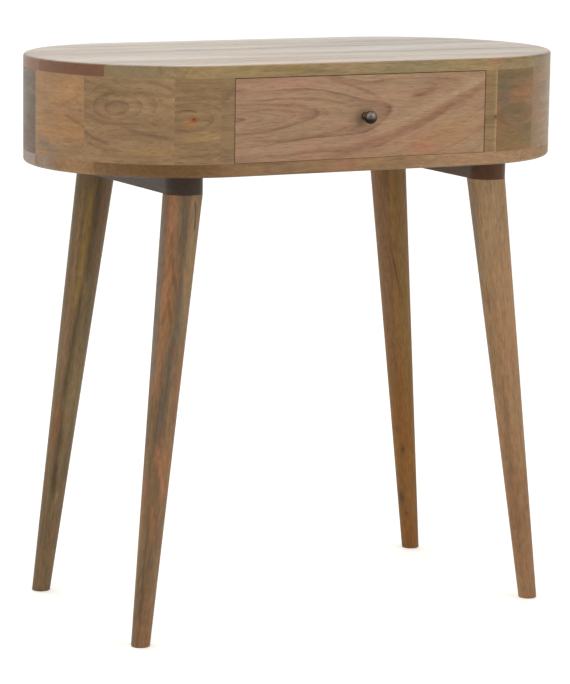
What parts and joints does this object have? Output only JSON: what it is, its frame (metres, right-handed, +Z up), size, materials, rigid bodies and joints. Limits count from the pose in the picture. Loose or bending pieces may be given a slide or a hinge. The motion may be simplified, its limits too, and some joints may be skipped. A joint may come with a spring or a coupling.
{
  "type": "console table",
  "caption": "Pill-shaped wooden console table with an inset drawer in its straight front, coopered round ends, and splayed tapered legs on dark bearers.",
  "frame": {"origin": "on the floor, under the middle of the whole table with its knob", "axes": "+Z up, -Y out of the drawer front, +X to the right of someone facing the drawer"},
  "size_m": [0.76, 0.4136, 0.76],
  "materials": {
    "top_boards": "pale washed hardwood under satin lacquer",
    "bottom_boards": "washed hardwood, satin",
    "wall_boards": "washed hardwood, satin",
    "drawer_face": "washed hardwood with a broad figure, satin",
    "leg_wood": "brown hardwood, satin",
    "bearer_wood": "hardwood with a near-black stain",
    "inner_wood": "bare softwood, planed",
    "drawer_box": "bare hardwood, planed",
    "drawer_plywood": "thin plywood, sanded",
    "dowel_wood": "fluted beech, plain here",
    "knob_metal": "dark antique finish, waxed",
    "steel": "zinc-plated"
  },
  "bodies": {
    "table": {"top_plank_1": "top_boards", "top_plank_2": "top_boards", "top_plank_3": "top_boards", "top_plank_4": "top_boards", "bottom_plank_1": "bottom_boards", "bottom_plank_2": "bottom_boards", "bottom_plank_3": "bottom_boards", "bottom_plank_4": "bottom_boards", "left_stave_1": "wall_boards", "left_stave_2": "wall_boards", "left_stave_3": "wall_boards", "left_stave_4": "wall_boards", "left_stave_5": "wall_boards", "left_stave_6": "wall_boards", "right_stave_1": "wall_boards", "right_stave_2": "wall_boards", "right_stave_3": "wall_boards", "right_stave_4": "wall_boards", "right_stave_5": "wall_boards", "right_stave_6": "wall_boards", "front_stile_left": "wall_boards", "front_stile_right": "wall_boards", "back_board": "wall_boards", "partition_left": "inner_wood", "drawer_runner_left": "inner_wood", "drawer_kicker_left": "inner_wood", "leg_bearer_left": "bearer_wood", "leg_front_left": "leg_wood", "leg_back_left": "leg_wood", "partition_right": "inner_wood", "drawer_runner_right": "inner_wood", "drawer_kicker_right": "inner_wood", "leg_bearer_right": "bearer_wood", "leg_front_right": "leg_wood", "leg_back_right": "leg_wood", "drawer_stops": "inner_wood", "dowels_upper": "dowel_wood", "dowels_lower": "dowel_wood", "bearer_screws": "steel", "hanger_bolts": "steel", "threaded_inserts": "steel"},
    "drawer": {"drawer_front": "drawer_face", "drawer_side_left": "drawer_box", "drawer_side_right": "drawer_box", "drawer_back": "drawer_box", "drawer_bottom": "drawer_plywood", "drawer_bottom_pins": "steel", "knob_backplate": "knob_metal", "drawer_knob": "knob_metal", "knob_screw": "steel"}
  },
  "joints": [
    {"name": "drawer_slide", "type": "slide", "parent": "table", "child": "drawer", "axis": [0, -1, 0], "range_m": [0, 0.22]}
  ]
}
